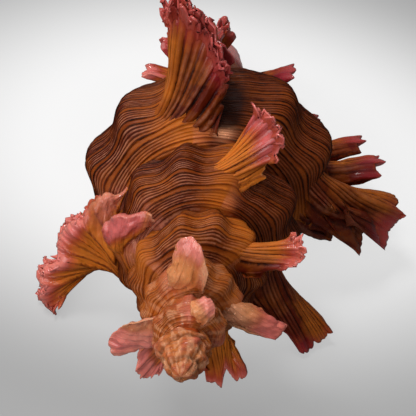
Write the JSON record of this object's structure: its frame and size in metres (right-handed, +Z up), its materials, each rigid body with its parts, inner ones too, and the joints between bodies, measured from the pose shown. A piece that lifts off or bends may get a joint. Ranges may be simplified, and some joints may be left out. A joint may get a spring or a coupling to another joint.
{
  "type": "murex shell",
  "caption": "Rose-branch murex sea shell lying aperture down, with corded whorls, leafy frilled fronds along its varices and a siphonal canal.",
  "frame": {"origin": "centre of the shell's outline seen from above, on the surface that it lies on", "axes": "+Y from the apex towards the siphonal canal, +Z up from the surface it lies on, with the aperture facing down; +X to the right seen from the apex end"},
  "size_m": [0.0566, 0.0856, 0.0476],
  "materials": {
    "shell": "satin calcareous shell, orange brown with dark brown cords and crimson frond tips"
  },
  "bodies": {
    "root": {"shell": "shell"}
  },
  "joints": []
}
